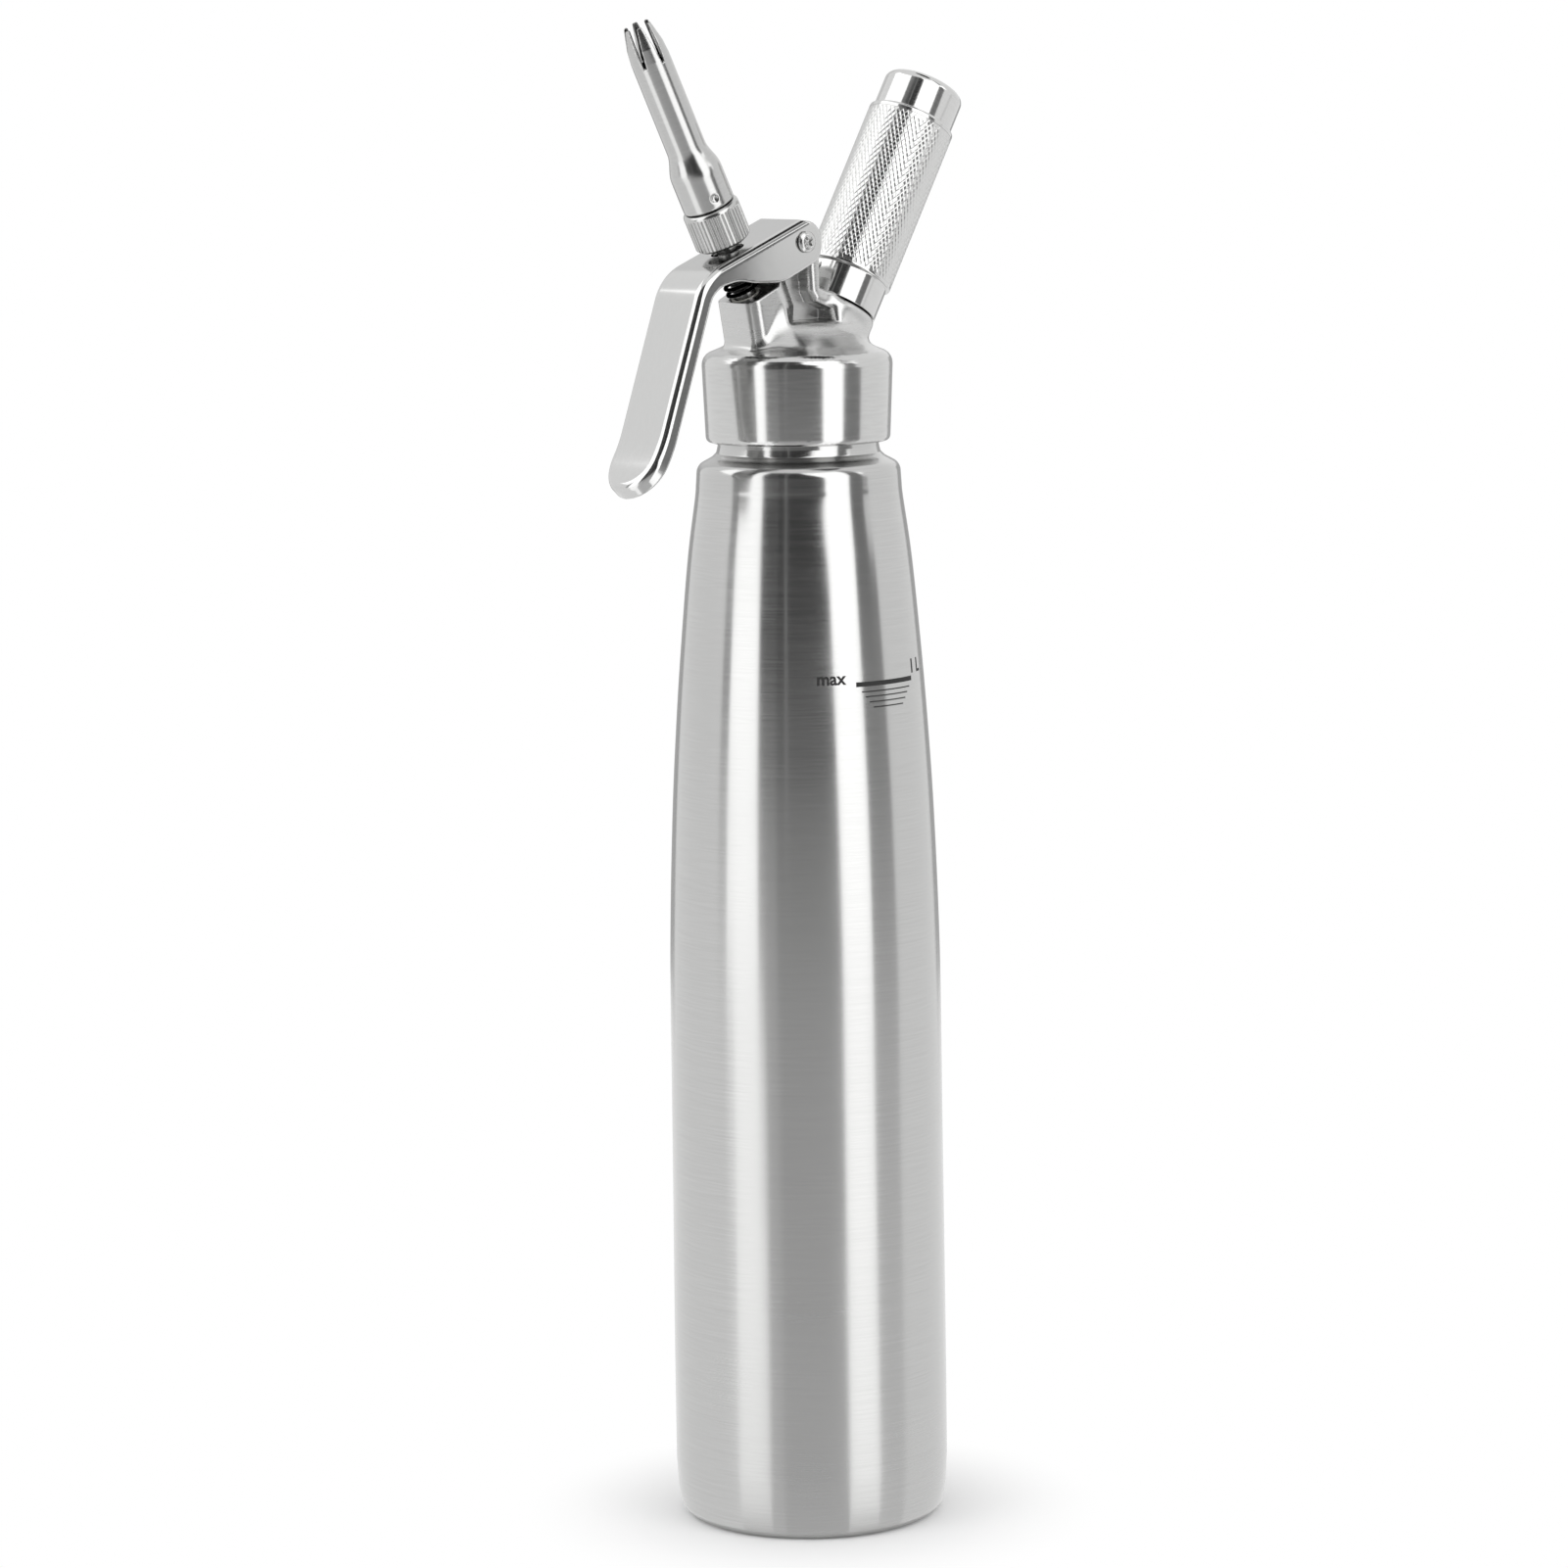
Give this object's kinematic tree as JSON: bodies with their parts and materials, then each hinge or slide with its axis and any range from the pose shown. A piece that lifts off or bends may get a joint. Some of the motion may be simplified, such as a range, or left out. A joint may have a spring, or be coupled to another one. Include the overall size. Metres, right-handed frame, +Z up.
{
  "type": "whipped cream dispenser",
  "caption": "Tall steel cream dispenser with a cast screw-on head, squeeze lever over a sprung valve, slotted nozzle and knurled charger holder.",
  "frame": {"origin": "on the bottle's axis, at the level the foot ring stands on", "axes": "+Z up the bottle's axis; +X towards the charger holder, -X towards the lever and nozzle; the fill mark is on the -Y side"},
  "size_m": [0.1206, 0.0776, 0.424],
  "materials": {
    "bottle_steel": "satin, brushed round the axis",
    "head_steel": "polished casting",
    "lever_steel": "polished sheet",
    "screw_steel": "polished",
    "valve_steel": "turned",
    "spring_steel": "drawn wire",
    "nozzle_steel": "polished",
    "holder_steel": "polished ends, diamond knurled middle",
    "charger_steel": "zinc plated, satin",
    "valve_brass": "turned",
    "red_silicone": "matt",
    "black_rubber": "matt",
    "white_nylon": "matt"
  },
  "bodies": {
    "bottle": {"bottle_shell": "bottle_steel"},
    "head_seal": {"head_gasket": "red_silicone"},
    "head": {"head_casting": "head_steel", "lever_screw": "screw_steel", "lever_sleeve_nut": "screw_steel", "stem_guide": "white_nylon", "valve_spring": "spring_steel", "piercing_valve": "valve_brass", "check_valve_sleeve": "black_rubber", "piercing_pin": "valve_steel", "charger_seal": "black_rubber"},
    "lever": {"lever": "lever_steel"},
    "valve": {"valve_stem": "valve_steel", "valve_seal": "black_rubber", "stem_o_ring": "black_rubber", "spring_washer": "valve_steel", "retaining_clip": "spring_steel", "nozzle_adapter": "nozzle_steel"},
    "nozzle_seal": {"nozzle_gasket": "black_rubber"},
    "nozzle": {"nozzle": "nozzle_steel"},
    "charger": {"charger": "charger_steel"},
    "charger_holder": {"charger_holder": "holder_steel"}
  },
  "joints": [
    {"name": "head_lift", "type": "slide", "parent": "bottle", "child": "head_seal", "axis": [0, 0, 1], "range_m": [0, 0.06]},
    {"name": "head_turn", "type": "hinge", "parent": "head_seal", "child": "head", "pos_m": [0, 0, 0.316], "axis": [0, 0, 1], "range_deg": [0, 540]},
    {"name": "lever_pivot", "type": "hinge", "parent": "head", "child": "lever", "pos_m": [-0.0048, 0, 0.3626], "axis": [0, -1, 0], "range_deg": [0, 10], "stiffness_Nm_per_rad": 1.05, "springref_deg": -15.47},
    {"name": "valve_slide", "type": "slide", "parent": "head", "child": "valve", "axis": [0.4384, 0, -0.8988], "range_m": [0, 0.0032], "deforming": ["valve_spring"]},
    {"name": "nozzle_lift", "type": "slide", "parent": "valve", "child": "nozzle_seal", "axis": [-0.4384, 0, 0.8988], "range_m": [0, 0.03]},
    {"name": "nozzle_turn", "type": "hinge", "parent": "nozzle_seal", "child": "nozzle", "pos_m": [0, 0, 0.3111], "axis": [-0.4384, 0, 0.8988], "range_deg": [0, 1440]},
    {"name": "holder_lift", "type": "slide", "parent": "head", "child": "charger", "axis": [0.4879, 0, 0.8729], "range_m": [0, 0.09]},
    {"name": "holder_turn", "type": "hinge", "parent": "charger", "child": "charger_holder", "pos_m": [0, 0, 0.3185], "axis": [0.4879, 0, 0.8729], "range_deg": [0, 1080]}
  ],
  "couplings": [
    {"joint": "valve_slide", "follows": "lever_pivot", "m_per_rad": 0.018262}
  ]
}
